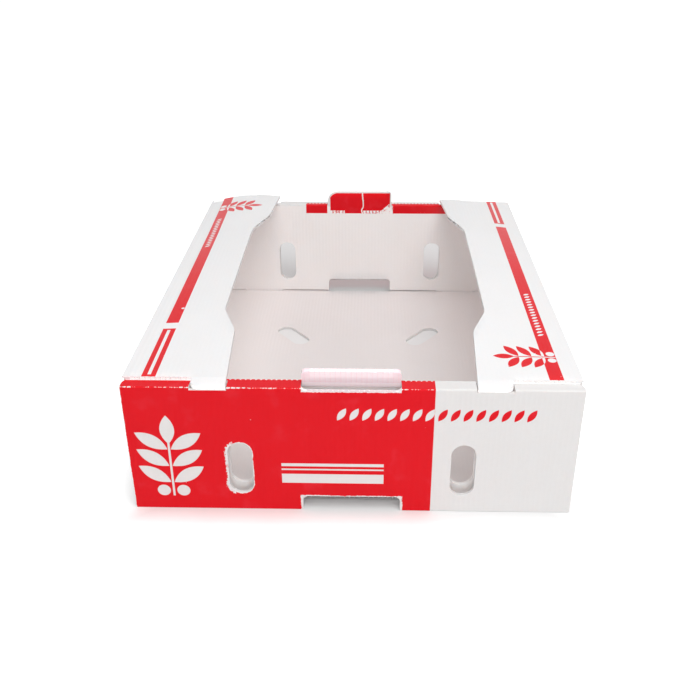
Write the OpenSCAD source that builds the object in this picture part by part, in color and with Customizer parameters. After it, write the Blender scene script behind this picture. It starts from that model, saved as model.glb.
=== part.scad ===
// Produce box folded from one sheet of fluted white plastic, with its two top flaps hinged on the sides.
// X is the width, Y the length with the front end at -Y, Z is up. Origin at the bottom centre. Millimetres.

/* [Box] */
// Outside width over the two side walls
box_width = 400; // [300:1:600]
// Outside length over the two end walls
box_length = 500; // [400:1:800]
// Height of the end walls' top band above the table
wall_height = 130; // [90:1:220]
// Thickness of the fluted sheet
sheet = 3.5; // [3:0.1:4.5]
// Air left between two layers of the folded sheet that only lie against each other
layer_gap = 0.4; // [0.3:0.05:0.5]
// Outside radius of a creased fold
fold_radius = 1.5; // [0.8:0.1:2.5]

/* [Flutes] */
// Spacing of the flutes
flute_pitch = 4.5; // [3:0.1:6]
// Thickness of the skins and of the webs between flutes
flute_wall = 0.55; // [0.4:0.05:0.8]
// How far the flutes are opened in from a cut edge
flute_depth = 8; // [4:0.5:15]

/* [End walls] */
// Width of the band along the top of the doubled end wall
band_width = 16; // [12:0.5:24]
// Plan radius at the two ends of the band
band_corner = 12; // [6:0.5:13]
// Air between the sides of the inner flap and the side walls
inner_side_gap = 2.5; // [1:0.5:6]
// Height of the inner flap's lower edge
inner_foot = 5; // [4.5:0.5:10]
// Reach of each corner flap behind the end wall
corner_reach = 80; // [40:1:85]
// Top of the corner flaps
corner_top = 112; // [60:1:118]
// Distance from the middle to a tongue that locks the inner flap into the floor
tongue_from = 108.5; // [90:0.5:112]
// Width of a tongue
tongue_width = 52.5; // [30:0.5:60]
// Clearance of a tongue in its floor slot
tongue_clear = 0.5; // [0.3:0.1:1]

/* [Stacking] */
// Width of a stacking tab
tab_width = 86; // [60:1:120]
// Height of an upright stacking tab above the band
tab_rise = 19; // [12:0.5:20]
// Corner radius of the tab and of the recess it is cut from
tab_corner = 5; // [2:0.5:8]
// Radius of the rear tab's left corner, which is cut rounder
rear_tab_round = 14; // [6:0.5:18]
// Depth of that recess below the band on the outer panel
recess_depth = 3; // [1:0.5:6]
// Outward lean of the front tab, which has sprung at its crease
front_tab_lean = 27; // [0:1:40]
// Outward lean of the rear tab
rear_tab_lean = 0; // [0:1:40]
// Width of the stacking notch in the outer panel
notch_width = 89; // [86:1:130]
// Height of that notch
notch_height = 15; // [8:0.5:25]
// Height of the notch in the inner flap
inner_notch_height = 22; // [19:0.5:30]

/* [Vents] */
// Width of every vent
vent_width = 22; // [15:0.5:30]
// Length of every vent
vent_length = 55; // [40:0.5:70]
// Distance of the end wall vents from the middle
end_vent_x = 100; // [75:1:140]
// Height of their centres
end_vent_z = 45.5; // [40:0.5:70]
// How much higher the vents of the inner flap sit
inner_vent_lift = 3; // [0:0.5:8]
// Centre of the floor vents across the box
floor_vent_x = 82; // [60:1:120]
// Centre of the floor vents along the box
floor_vent_y = 95; // [60:1:160]
// Slant of the floor vents
floor_vent_slant = 53; // [30:1:70]

/* [Top flaps] */
// Distance of a flap's ends from the outer faces of the end walls
flap_setback = 11; // [8:0.5:14]
// Reach of a flap from the side of the box, at its ends
flap_end_reach = 91.5; // [80:0.5:110]
// Reach where the shoulder starts
flap_shoulder_reach = 87.2; // [78:0.2:105]
// Reach along the waist
flap_waist_reach = 71; // [66:0.5:76]
// Length of the wide part at each end of a flap
shoulder_length = 79; // [60:1:110]
// Length of the slope from the wide part to the waist
shoulder_run = 54; // [30:1:80]
// Width of an end tab
flap_tab_width = 30.5; // [20:0.5:40]
// Distance of an end tab's tip from the outer face of the end wall
flap_tab_short = 0.2; // [0.1:0.1:2]
// Corner radius of an end tab
flap_tab_corner = 6; // [3:0.5:7]
// How far an end tab dips into its slot in the band
flap_tab_dip = 2.6; // [0.5:0.1:3]
// Air round an end tab in its slot
flap_tab_clear = 1; // [0.6:0.1:1.5]
// Air under a flap that lies on the band
rest_gap = 0.2; // [0.1:0.05:0.4]
// Radius of the rounded crease that a flap turns about
crease_radius = 1; // [0.6:0.1:1.5]
// Spring of the inner edge above flat, and where along the length it is highest
flap_bow = 10; // [0:0.5:14]
// Distance of that highest point from the rear end of the flap
bow_peak = 141; // [80:1:240]
// Spring of the rear end of the right flap
right_end_rise = 2.5; // [0:0.5:10]
// Spring of the rear end of the left flap
left_end_rise = 6; // [0:0.5:12]
// Curl across the rear end of the right flap
right_end_curl = 0; // [0:0.5:8]
// Curl across the rear end of the left flap
left_end_curl = 5; // [0:0.5:8]
// Length over which a curl fades out
curl_length = 131; // [60:1:200]

/* [Hidden] */
$fn = 48;
plastic = [0.93, 0.93, 0.93];
half_w = box_width / 2;
half_l = box_length / 2;
// Inner face of the doubled end wall
inner_y = half_l - band_width;
inner_half = half_w - sheet - inner_side_gap;
// Where a stacking tab starts in the inner flap, and its length from there
tab_base = wall_height - 1.5 * sheet;
tab_length = wall_height + tab_rise - tab_base;
tongue_to = tongue_from + tongue_width;
// Outline of a flap: half its length, its inner edge at the end and the outer side of its end tab
flap_half = half_l - flap_setback;
flap_end_x = half_w - flap_end_reach;
flap_tab_x = flap_end_x + flap_tab_width;
flap_tab_reach = flap_setback - flap_tab_short;
// Height of a flap's underside, and the axis of its crease
flap_z = wall_height + rest_gap;
crease_x = half_w - crease_radius;
crease_z = flap_z + sheet - crease_radius;
eps = 0.01;

// Two-dimensional helpers

// Square corner at the origin outside a fold of radius r, with the sheet toward +x and +y
module corner_2d(r) {
    difference() {
        translate([-1, -1]) square(r + 1);
        translate([r, r]) circle(r);
    }
}

// Rectangle centred on x that stands on y = 0, with its two upper corners rounded
module tab_2d(w, h, r) {
    translate([-w / 2, 0]) square([w, h - r]);
    translate([-w / 2 + r, h - r - eps]) square([w - 2 * r, r + eps]);
    for (s = [-1, 1]) translate([s * (w / 2 - r), h - r]) circle(r);
}

// Outline of the rear tab, with one corner rounder than the other
module rear_tab_2d() {
    difference() {
        tab_2d(tab_width, tab_length, tab_corner);
        translate([tab_width / 2, tab_length]) rotate(180) corner_2d(rear_tab_round);
    }
}

// Stadium about the origin with its length along y
module stadium_2d(w, l) {
    translate([-w / 2, -(l - w) / 2]) square([w, l - w]);
    for (s = [-1, 1]) translate([0, s * (l - w) / 2]) circle(w / 2);
}

// Extrude a shape drawn in the y and z of the box along X
module along_x(l) {
    rotate([90, 0, 90]) linear_extrude(l, center = true) children();
}

// Extrude a shape drawn in the x and z of the box along Y
module along_y(l) {
    rotate([90, 0, 0]) linear_extrude(l, center = true) children();
}

// Row of open flutes along a straight cut edge of width w, centred on the origin, with the sheet's faces toward y
module mouth_row(w) {
    n = floor(w / flute_pitch);
    for (i = [0 : n - 1]) translate([(i - (n - 1) / 2) * flute_pitch, 0, 0])
        cube([flute_pitch - flute_wall, sheet - 2 * flute_wall, 2 * flute_depth], center = true);
}

// Floor and side walls

module floor_and_sides() {
    side_l = box_length - 2 * (sheet + layer_gap);
    difference() {
        union() {
            translate([-half_w, -half_l, 0]) cube([box_width, box_length, sheet]);
            for (s = [-1, 1]) mirror([s < 0 ? 1 : 0, 0, 0]) side_wall(side_l);
        }
        for (s = [-1, 1]) mirror([s < 0 ? 1 : 0, 0, 0])
            translate([half_w, 0, 0]) mirror([1, 0, 0]) along_y(box_length + 2) corner_2d(fold_radius);
        for (s = [-1, 1], q = [-1, 1]) {
            translate([s * floor_vent_x, q * floor_vent_y, -1])
                rotate([0, 0, s * q * (floor_vent_slant - 90)])
                    linear_extrude(sheet + 2) stadium_2d(vent_width, vent_length);
            tongue_slot(s, q);
        }
    }
}

// One side wall, with its top mitred for the flap's crease and lowered where the band passes over it
module side_wall(l) {
    x_in = half_w - sheet;
    top_in = flap_z - layer_gap;
    top_out = crease_z - crease_radius - layer_gap;
    difference() {
        along_y(l) polygon([[x_in, 0], [half_w, 0], [half_w, top_out],
            [x_in + top_out - top_in, top_out], [x_in, top_in]]);
        for (s = [-1, 1]) translate([x_in - 1, s > 0 ? inner_y - 1 : -half_l, wall_height - sheet - layer_gap])
            cube([sheet + 2, band_width + 1, 20]);
        for (s = [-1, 1]) translate([half_w, s * l / 2, 0]) rotate([0, 0, s > 0 ? 180 : 90])
            translate([0, 0, -1]) linear_extrude(wall_height + 20) corner_2d(fold_radius);
    }
    for (s = [-1, 1]) corner_flap(s, l / 2);
}

// Corner flap folded in from the end of a side wall, free of the floor and the end wall
module corner_flap(s, end_y) {
    z0 = sheet + layer_gap;
    difference() {
        translate([half_w - corner_reach, s > 0 ? end_y - sheet : -end_y, z0])
            cube([corner_reach, sheet, corner_top - z0]);
        translate([half_w, s * end_y, 0]) rotate([0, 0, s > 0 ? 180 : 90])
            translate([0, 0, -1]) linear_extrude(wall_height) corner_2d(fold_radius);
        translate([half_w - corner_reach, s * end_y, corner_top]) rotate([0, 45, 0])
            cube([30, 4 * sheet, 30], center = true);
    }
}

// Slot in the floor for one locking tongue
module tongue_slot(s, q) {
    c = tongue_clear;
    translate([s > 0 ? tongue_from - c : -tongue_to - c, q > 0 ? inner_y - c : -inner_y - sheet - c, -1])
        cube([tongue_to - tongue_from + 2 * c, sheet + 2 * c, sheet + 2]);
}

// Doubled end wall, drawn for the front end, round the outline of its stacking tab

module end_wall(lean) {
    difference() {
        union() {
            outer_panel();
            band();
            inner_flap();
        }
        translate([0, -half_l, 0]) along_x(box_width + 2) corner_2d(fold_radius);
        translate([0, -half_l, wall_height]) mirror([0, 0, 1]) along_x(box_width + 2) corner_2d(fold_radius);
        translate([0, -inner_y, wall_height]) rotate([180, 0, 0]) along_x(box_width + 2) corner_2d(fold_radius);
        recess();
        for (s = [-1, 1]) flap_slot(s);
    }
    stacking_tab(lean) children();
}

module outer_panel() {
    difference() {
        translate([-half_w, -half_l, 0]) cube([box_width, sheet, wall_height]);
        for (s = [-1, 1]) translate([s * end_vent_x, -half_l + sheet / 2, end_vent_z])
            rotate([90, 0, 0]) linear_extrude(3 * sheet, center = true) stadium_2d(vent_width, vent_length);
    }
}

// Top of the wall, cut to a round at both ends
module band() {
    translate([0, 0, wall_height - sheet]) linear_extrude(sheet) difference() {
        translate([-half_w, -half_l]) square([box_width, band_width]);
        for (s = [-1, 1]) mirror([s < 0 ? 1 : 0, 0]) translate([half_w, -inner_y]) rotate(180)
            corner_2d(band_corner);
    }
}

// Flap that comes down inside, with its vents, its notch and the two locking tongues
module inner_flap() {
    difference() {
        union() {
            translate([0, -inner_y, 0]) rotate([90, 0, 0]) linear_extrude(sheet) translate([0, inner_foot])
                tab_2d(2 * inner_half, wall_height - inner_foot, 10);
            for (s = [-1, 1]) translate([s > 0 ? tongue_from : -tongue_to, -inner_y - sheet, 0.5])
                cube([tongue_to - tongue_from, sheet, inner_foot]);
        }
        for (s = [-1, 1]) translate([s * end_vent_x, -inner_y - sheet / 2, end_vent_z + inner_vent_lift])
            rotate([90, 0, 0]) linear_extrude(3 * sheet, center = true) stadium_2d(vent_width, vent_length);
        translate([0, -inner_y + 1, -1]) rotate([90, 0, 0]) linear_extrude(sheet + 2)
            tab_2d(notch_width - 3, inner_notch_height + 1, tab_corner);
    }
}

// Opening left in the band and the outer panel where the stacking tab was cut out
module recess() {
    w = tab_width + 2 * layer_gap;
    translate([0, -inner_y - sheet, wall_height + 20]) rotate([90, 0, 0]) linear_extrude(band_width)
        mirror([0, 1]) tab_2d(w, 20 + recess_depth, tab_corner);
    translate([-w / 2, -half_l + sheet, wall_height - sheet - 1])
        cube([w, band_width - 2 * sheet, sheet + 2]);
    translate([-w / 2, -half_l + sheet, wall_height - eps]) cube([w, band_width, 5]);
    translate([0, -half_l + sheet / 2, wall_height - recess_depth]) mouth_row(w - 2 * tab_corner);
}

// Slot through the band for the end tab of a top flap
module flap_slot(s) {
    x0 = flap_end_x - flap_tab_clear;
    x1 = flap_tab_x + flap_tab_clear;
    translate([s > 0 ? x0 : -x1, -half_l - 1, wall_height - flap_tab_dip - 2 * rest_gap])
        cube([x1 - x0, band_width - sheet + 1 - layer_gap, 20]);
    translate([s > 0 ? x0 : -x1, -half_l + sheet, wall_height - sheet - 1])
        cube([x1 - x0, band_width - 2 * sheet - layer_gap, 20]);
}

// Stacking tab of the given outline, carried up from the inner flap, with the flutes open along its top edge
module stacking_tab(lean) {
    translate([-tab_width / 2, -inner_y - sheet / 2, tab_base]) rotate([0, 90, 0])
        cylinder(d = sheet, h = tab_width);
    translate([0, -inner_y - sheet / 2, tab_base]) rotate([lean, 0, 0]) difference() {
        rotate([90, 0, 0]) linear_extrude(sheet, center = true) children();
        translate([0, 0, tab_length]) mouth_row(tab_width - 2 * tab_corner);
    }
}

// Stacking notch through the floor and the outer panel, with the flutes that it opens
module stacking_notch() {
    translate([0, -half_l + sheet + 1, -1]) rotate([90, 0, 0]) linear_extrude(sheet + 2)
        tab_2d(notch_width, notch_height + 1, tab_corner);
    translate([-notch_width / 2, -half_l - 1, -1]) cube([notch_width, band_width + layer_gap + 1, sheet + 2]);
    translate([0, -half_l + sheet / 2, notch_height]) mouth_row(notch_width - 2 * tab_corner);
    translate([0, -inner_y - sheet / 2, inner_notch_height]) mouth_row(notch_width - 3 - 2 * tab_corner);
    translate([0, -inner_y + layer_gap, sheet / 2]) rotate([90, 0, 0]) mouth_row(notch_width - sheet);
}

module tray() {
    color(plastic) difference() {
        union() {
            floor_and_sides();
            end_wall(front_tab_lean) tab_2d(tab_width, tab_length, tab_corner);
            rotate([0, 0, 180]) end_wall(rear_tab_lean) rear_tab_2d();
        }
        stacking_notch();
        rotate([0, 0, 180]) stacking_notch();
    }
}

// Top flap, drawn for the right side

// Spring of the sheet above flat at x, y
peak_y = flap_half - bow_peak;
function edge_rise(y, end_rise) = y < peak_y
    ? flap_bow * sin(90 * (max(y, -flap_half) + flap_half) / (peak_y + flap_half))
    : end_rise + (flap_bow - end_rise) * cos(90 * (min(y, flap_half) - peak_y) / bow_peak);
function across(x) = max(0, (half_w - sheet - x) / (half_w - sheet - flap_end_x));
function curl(x, y, c) = c * sin(180 * min(1, across(x)))
    * max(0, min(1, (y - flap_half + curl_length) / curl_length));
function rise(x, y, e, c) = across(x) * edge_rise(y, e) + curl(x, y, c);
function dip(y) = flap_tab_dip * max(0, (abs(y) - flap_half) / flap_tab_reach);
// Slope of the sheet across and along the flap, as angles
function tilt_x(x, y, e, c) = atan((rise(x + 1, y, e, c) - rise(x - 1, y, e, c)) / 2);
function tilt_y(x, y, e, c) = atan((rise(x, y + 1, e, c) - rise(x, y - 1, e, c)) / 2);

// Half of the inner edge from the middle to the end, as [y, x], with an eased slope at the shoulder
shoulder_y = flap_half - shoulder_length;
waist_y = shoulder_y - shoulder_run;
ease = [[0, 0], [0.11, 0.04], [0.22, 0.16], [0.5, 0.5], [0.78, 0.86], [0.89, 0.96], [1, 1]];
waist_x = half_w - flap_waist_reach;
shoulder_x = half_w - flap_shoulder_reach;
half_edge = concat(
    [for (k = [0 : 4]) [waist_y * k / 5, waist_x]],
    [for (p = ease) [waist_y + shoulder_run * p[0], waist_x + (shoulder_x - waist_x) * p[1]]],
    [for (k = [1 : 4]) [shoulder_y + shoulder_length * k / 4, shoulder_x + (flap_end_x - shoulder_x) * k / 4]]);

// Rows of the sheet from front to rear as [y, inner edge, outer side of the tab]
tab_half = [for (a = [15 : 25 : 90]) [flap_half + flap_tab_reach - flap_tab_corner * (1 - sin(a)),
    flap_end_x, flap_tab_x - flap_tab_corner * (1 - cos(a))]];
n_tab = len(tab_half);
n_edge = len(half_edge);
n_main = 2 * n_edge - 1;
rows = concat(
    [for (i = [n_tab - 1 : -1 : 0]) [-tab_half[i][0], tab_half[i][1], tab_half[i][2]]],
    [for (i = [n_edge - 1 : -1 : 1]) [-half_edge[i][0], half_edge[i][1], flap_tab_x]],
    [for (p = half_edge) [p[0], p[1], flap_tab_x]],
    tab_half);
n_rows = len(rows);
first = n_tab;
last = n_tab + n_main - 1;

// Columns up to n_out lie outside the tab, the rest run on into it
n_out = 6;
n_col = n_out + 4;
function is_main(j) = j >= first && j <= last;
function start_col(j) = is_main(j) ? 0 : n_out;
function col_x(j, i, top) = i == 0 ? (top ? crease_x : half_w - sheet)
    : i <= n_out ? half_w - sheet - (half_w - sheet - rows[j][2]) * i / n_out
    : rows[j][2] + (rows[j][1] - rows[j][2]) * (i - n_out) / (n_col - 1 - n_out);
tab_cols = n_col - n_out;
function row_at(j) = j <= first ? tab_cols * j : j <= last ? tab_cols * first + n_col * (j - first)
    : tab_cols * first + n_col * n_main + tab_cols * (j - last - 1);
function at(j, i) = row_at(j) + i - start_col(j);
n_top = row_at(n_rows);
function grid_points(top, e, c) = [for (j = [0 : n_rows - 1], i = [start_col(j) : n_col - 1])
    let (x = col_x(j, i, top), y = rows[j][0])
    [x, y, flap_z + (top ? sheet : 0) + rise(x, y, e, c) - dip(y)]];
cells = [for (j = [0 : n_rows - 2], i = [max(start_col(j), start_col(j + 1)) : n_col - 2])
    [at(j, i), at(j, i + 1), at(j + 1, i + 1), at(j + 1, i)]];
rim = concat(
    [for (i = [n_out : n_col - 2]) at(0, i)],
    [for (j = [0 : n_rows - 1]) at(j, n_col - 1)],
    [for (i = [n_col - 2 : -1 : n_out + 1]) at(n_rows - 1, i)],
    [for (j = [n_rows - 1 : -1 : last]) at(j, n_out)],
    [for (i = [n_out - 1 : -1 : 1]) at(last, i)],
    [for (j = [last : -1 : first]) at(j, 0)],
    [for (i = [1 : n_out]) at(first, i)],
    [for (j = [first - 1 : -1 : 1]) at(j, n_out)]);
function next(k) = rim[(k + 1) % len(rim)];
sheet_faces = concat(
    [for (q = cells) [q[0], q[1], q[2]]],
    [for (q = cells) [q[0], q[2], q[3]]],
    [for (q = cells) [n_top + q[0], n_top + q[2], n_top + q[1]]],
    [for (q = cells) [n_top + q[0], n_top + q[3], n_top + q[2]]],
    [for (k = [0 : len(rim) - 1]) [next(k), rim[k], n_top + rim[k]]],
    [for (k = [0 : len(rim) - 1]) [next(k), n_top + rim[k], n_top + next(k)]]);

// Open mouths of the flutes in one end of a flap, in the tip of its tab and along its shoulder
module flap_mouths(s, e, c) {
    mouth = [flute_pitch - flute_wall, 2 * flute_depth, sheet - 2 * flute_wall];
    end_y = s * flap_half;
    tip_y = s * (flap_half + flap_tab_reach);
    n_end = floor((half_w - 2 * sheet - flap_tab_x) / flute_pitch);
    n_tip = floor((flap_tab_width - flap_tab_corner) / flute_pitch);
    n_slope = floor((waist_x - shoulder_x) / flute_pitch);
    slope = -s * atan(flap_tab_dip / flap_tab_reach);
    for (k = [0 : n_end - 1]) let (x = half_w - 2 * sheet - flute_pitch * (k + 0.5))
        translate([x, end_y, flap_z + sheet / 2 + rise(x, end_y, e, c)])
            rotate([tilt_y(x, end_y - s * 2, e, c), -tilt_x(x, end_y, e, c), 0])
                cube(mouth, center = true);
    for (k = [0 : n_tip - 1]) let (x = flap_end_x + flute_pitch * (k + 0.5))
        translate([x, tip_y, flap_z + sheet / 2 + rise(x, tip_y, e, c) - flap_tab_dip])
            rotate([slope, -tilt_x(x, tip_y, e, c), 0])
                cube([mouth[0], flute_depth, mouth[2]], center = true);
    for (k = [0 : n_slope - 1]) let (x = shoulder_x + flute_pitch * (k + 0.5),
        y = s * (shoulder_y - shoulder_run * (x - shoulder_x) / (waist_x - shoulder_x)))
        translate([x, y, flap_z + sheet / 2 + rise(x, y, e, c)])
            rotate([tilt_y(x, y, e, c), -tilt_x(x, y, e, c), 0]) cube(mouth, center = true);
}

module flap(e, c) {
    color(plastic) {
        difference() {
            polyhedron(points = concat(grid_points(true, e, c), grid_points(false, e, c)),
                faces = sheet_faces, convexity = 6);
            for (s = [-1, 1]) flap_mouths(s, e, c);
        }
        translate([crease_x, 0, crease_z]) rotate([90, 0, 0])
            cylinder(r = crease_radius, h = 2 * flap_half - 2, center = true);
    }
}

module right_flap() {
    flap(right_end_rise, right_end_curl);
}

module left_flap() {
    mirror([1, 0, 0]) flap(left_end_rise, left_end_curl);
}

tray();
left_flap();
right_flap();
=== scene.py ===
# %% [markdown]
# # A folded produce box of fluted plastic sheet
# The real box is one printed sheet of fluted plastic, creased, folded up and locked without glue.
# Its shape is already in the solids that load below, down to the flute mouths in the cut edges, so this
# lesson is about looks. It puts print, fluting and wear on plain solids with nodes alone, and it lights
# white plastic so that it stays white without burning out.

# %% Load the folded box
import math

import bpy
from mathutils import Matrix, Vector

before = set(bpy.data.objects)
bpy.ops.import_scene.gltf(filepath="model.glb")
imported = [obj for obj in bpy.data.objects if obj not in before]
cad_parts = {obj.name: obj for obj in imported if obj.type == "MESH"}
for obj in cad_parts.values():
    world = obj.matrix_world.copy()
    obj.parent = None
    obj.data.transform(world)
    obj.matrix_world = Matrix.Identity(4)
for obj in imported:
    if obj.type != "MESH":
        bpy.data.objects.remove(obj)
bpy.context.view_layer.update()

# %% [markdown]
# ## Sizes that the finish needs
# Print and wear have to land on the right folds and cuts, so the sizes that they follow get names, in
# millimetres. The half width and half length are read from the loaded tray. The others repeat how the
# sheet was cut and folded: its top fold, the air holes, the recess behind the stacking tab and the notch.

# %% Name the sizes of the sheet
MM = 1000.0
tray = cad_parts["tray"]
HALF_WIDTH = round(max(corner[0] for corner in tray.bound_box) * MM, 1)
HALF_LENGTH = round(max(corner[1] for corner in tray.bound_box) * MM, 1)
WALL_TOP = 130.0
BAND_WIDTH = 16.0
BAND_EDGE = HALF_LENGTH - BAND_WIDTH
FLUTE_PITCH = 4.5
HOLE_PLACE = 100.0
HOLE_MIDDLE = 45.5
HOLE_STRAIGHT = 16.5
HOLE_RADIUS = 11.0
RECESS_HALF = 42.5
RECESS_FOOT = 127.0
NOTCH_HALF = 45.5
NOTCH_HEIGHT = 15.0
FLAP_END = 239.0
print("sheet folded to", 2 * HALF_WIDTH, "by", 2 * HALF_LENGTH, "mm")

# %% [markdown]
# ## Where the camera stands
# A photograph of a box gives its camera away: the long edges run to vanishing points, and the known
# corners fix the distance. The numbers below come from such a fit. They could be set as Euler angles, but
# building the camera's three axes keeps the order of the turns plain: first yaw, then pitch, then roll.

# %% Place the camera
CAMERA_PLACE = Vector((0.01559, -0.88077, 0.50582))
CAMERA_YAW = math.radians(-1.498)
CAMERA_PITCH = math.radians(28.19)
CAMERA_ROLL = math.radians(-0.203)
CAMERA_LENS = 44.18
CAMERA_SENSOR = 36
CAMERA_NEAR = 0.01


def camera_matrix(place, yaw, pitch, roll):
    level = math.cos(pitch)
    forward = Vector((math.sin(yaw) * level, math.cos(yaw) * level, -math.sin(pitch)))
    right = Vector((math.cos(yaw), -math.sin(yaw), 0))
    down = forward.cross(right)
    rolled_right = math.cos(roll) * right - math.sin(roll) * down
    rolled_down = math.sin(roll) * right + math.cos(roll) * down
    turn = Matrix((rolled_right, -rolled_down, -forward)).transposed()
    return Matrix.Translation(place) @ turn.to_4x4()


camera = bpy.data.objects.new("photo_camera", bpy.data.cameras.new("photo_camera"))
camera.data.lens = CAMERA_LENS
camera.data.sensor_width = CAMERA_SENSOR
camera.data.clip_start = CAMERA_NEAR
camera.matrix_world = camera_matrix(CAMERA_PLACE, CAMERA_YAW, CAMERA_PITCH, CAMERA_ROLL)
bpy.context.scene.collection.objects.link(camera)
bpy.context.scene.camera = camera
print("camera at", [round(c, 3) for c in camera.matrix_world.translation])

# %% [markdown]
# ## A few words for building nodes
# Every finish below is a web of small sums on the position of a surface point. Adding each node by hand
# takes four lines, so a handful of helpers say the same in one: place a node, feed a socket with a number
# or a link, do a sum, and make a mask that is 1 where something holds and 0 elsewhere.

# %% Helpers that place and link nodes
def add_node(tree, kind, **settings):
    node = tree.nodes.new(kind)
    for name, value in settings.items():
        setattr(node, name, value)
    return node


def feed(tree, socket, value):
    if isinstance(value, bpy.types.NodeSocket):
        tree.links.new(value, socket)
    else:
        socket.default_value = value


print("helpers: add_node, feed")

# %% Helpers that do sums
def calc(tree, operation, *values):
    node = add_node(tree, "ShaderNodeMath", operation=operation)
    for socket, value in zip(node.inputs, values):
        feed(tree, socket, value)
    return node.outputs[0]


def minus(tree, first, second):
    return calc(tree, "SUBTRACT", first, second)


def scaled(tree, value, slope, start=0.0):
    return calc(tree, "MULTIPLY_ADD", value, slope, start)


def unsigned(tree, value):
    return calc(tree, "ABSOLUTE", value)


def gap_from(tree, value, place):
    return unsigned(tree, minus(tree, value, place))


def hypotenuse(tree, across, up):
    squares = [calc(tree, "MULTIPLY", side, side) for side in (across, up)]
    return calc(tree, "SQRT", calc(tree, "ADD", *squares))


print("helpers: calc, minus, scaled, unsigned, gap_from, hypotenuse")

# %% Helpers for points on the sheet
def point(tree, across, up):
    node = add_node(tree, "ShaderNodeCombineXYZ")
    feed(tree, node.inputs["X"], across)
    feed(tree, node.inputs["Y"], up)
    return node.outputs["Vector"]


def split(tree, vector):
    node = add_node(tree, "ShaderNodeSeparateXYZ")
    feed(tree, node.inputs["Vector"], vector)
    return node.outputs["X"], node.outputs["Y"], node.outputs["Z"]


def vector_calc(tree, operation, first, second):
    node = add_node(tree, "ShaderNodeVectorMath", operation=operation)
    feed(tree, node.inputs[0], first)
    if operation == "SCALE":
        feed(tree, node.inputs["Scale"], second)
    else:
        feed(tree, node.inputs[1], second)
    return node.outputs["Vector"]


def noise(tree, vector, scale, detail):
    node = add_node(tree, "ShaderNodeTexNoise")
    feed(tree, node.inputs["Vector"], vector)
    node.inputs["Scale"].default_value = scale
    node.inputs["Detail"].default_value = detail
    return node.outputs["Fac"]


print("helpers: point, split, vector_calc, noise")

# %% Helpers that make masks
def step(tree, value, low, high):
    node = add_node(tree, "ShaderNodeMapRange", interpolation_type="SMOOTHSTEP")
    feed(tree, node.inputs["Value"], value)
    feed(tree, node.inputs["From Min"], low)
    feed(tree, node.inputs["From Max"], high)
    return node.outputs["Result"]


def above(tree, value, limit):
    return calc(tree, "GREATER_THAN", value, limit)


def below(tree, value, limit):
    return calc(tree, "LESS_THAN", value, limit)


def either(tree, *masks):
    result = masks[0]
    for mask in masks[1:]:
        result = calc(tree, "MAXIMUM", result, mask)
    return result


def both(tree, *masks):
    result = masks[0]
    for mask in masks[1:]:
        result = calc(tree, "MULTIPLY", result, mask)
    return result


def between(tree, value, low, high):
    return both(tree, above(tree, value, low), below(tree, value, high))


def opposite(tree, mask):
    return minus(tree, 1, mask)


def closeness(tree, distance, reach):
    return step(tree, distance, reach, 0)


print("helpers: step, above, below, either, both, between, opposite, closeness")

# %% [markdown]
# ## Groups for what is drawn more than once
# A node group is a tool of one's own: it has named inputs and outputs and can be dropped into any
# material. The print on this box needs bars, round fruits and pointed leaves, so each gets a group that
# answers one question for a point on the sheet: is it inside the shape? All lengths are in millimetres.

# %% Start a group and place it
def start_group(name, inputs, outputs):
    group = bpy.data.node_groups.new(name, "ShaderNodeTree")
    for label, kind, value in inputs:
        socket = group.interface.new_socket(label, in_out="INPUT", socket_type=kind)
        socket.default_value = value
    for label in outputs:
        group.interface.new_socket(label, in_out="OUTPUT", socket_type="NodeSocketFloat")
    entry = add_node(group, "NodeGroupInput")
    leave = add_node(group, "NodeGroupOutput")
    return group, entry.outputs, leave.inputs


def place_group(tree, group, **inputs):
    node = add_node(tree, "ShaderNodeGroup", node_tree=group)
    for name, value in inputs.items():
        feed(tree, node.inputs[name], value)
    return node.outputs


NUMBER = "NodeSocketFloat"
PLACE = "NodeSocketVector"
POINT = ("Point", PLACE, (0, 0, 0))
CENTRE = ("Centre", PLACE, (0, 0, 0))
print("helpers: start_group, place_group")

# %% The soft edge of a print
PRINT_BLUR = 0.18


def soft_print(tree, depth):
    return step(tree, depth, -PRINT_BLUR, PRINT_BLUR)


def counterchange(tree, field, shapes):
    return unsigned(tree, minus(tree, field, shapes))


print("print edges are soft over", 2 * PRINT_BLUR, "mm")

# %% A bar
bar_group, bar_in, bar_out = start_group(
    "print bar", [POINT, CENTRE, ("Size", PLACE, (10, 10, 0))], ["Mask"])
bar_x, bar_y, _ = split(bar_group, vector_calc(bar_group, "SUBTRACT", bar_in["Point"], bar_in["Centre"]))
bar_width, bar_height, _ = split(bar_group, bar_in["Size"])
bar_side = minus(bar_group, scaled(bar_group, bar_width, 0.5), unsigned(bar_group, bar_x))
bar_end = minus(bar_group, scaled(bar_group, bar_height, 0.5), unsigned(bar_group, bar_y))
bar_depth = calc(bar_group, "MINIMUM", bar_side, bar_end)
feed(bar_group, bar_out["Mask"], soft_print(bar_group, bar_depth))
print("group:", bar_group.name)

# %% A round fruit
disc_group, disc_in, disc_out = start_group("print disc", [POINT, CENTRE, ("Radius", NUMBER, 5)], ["Mask"])
disc_span = add_node(disc_group, "ShaderNodeVectorMath", operation="DISTANCE")
feed(disc_group, disc_span.inputs[0], disc_in["Point"])
feed(disc_group, disc_span.inputs[1], disc_in["Centre"])
disc_depth = minus(disc_group, disc_in["Radius"], disc_span.outputs["Value"])
feed(disc_group, disc_out["Mask"], soft_print(disc_group, disc_depth))
print("group:", disc_group.name)

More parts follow.
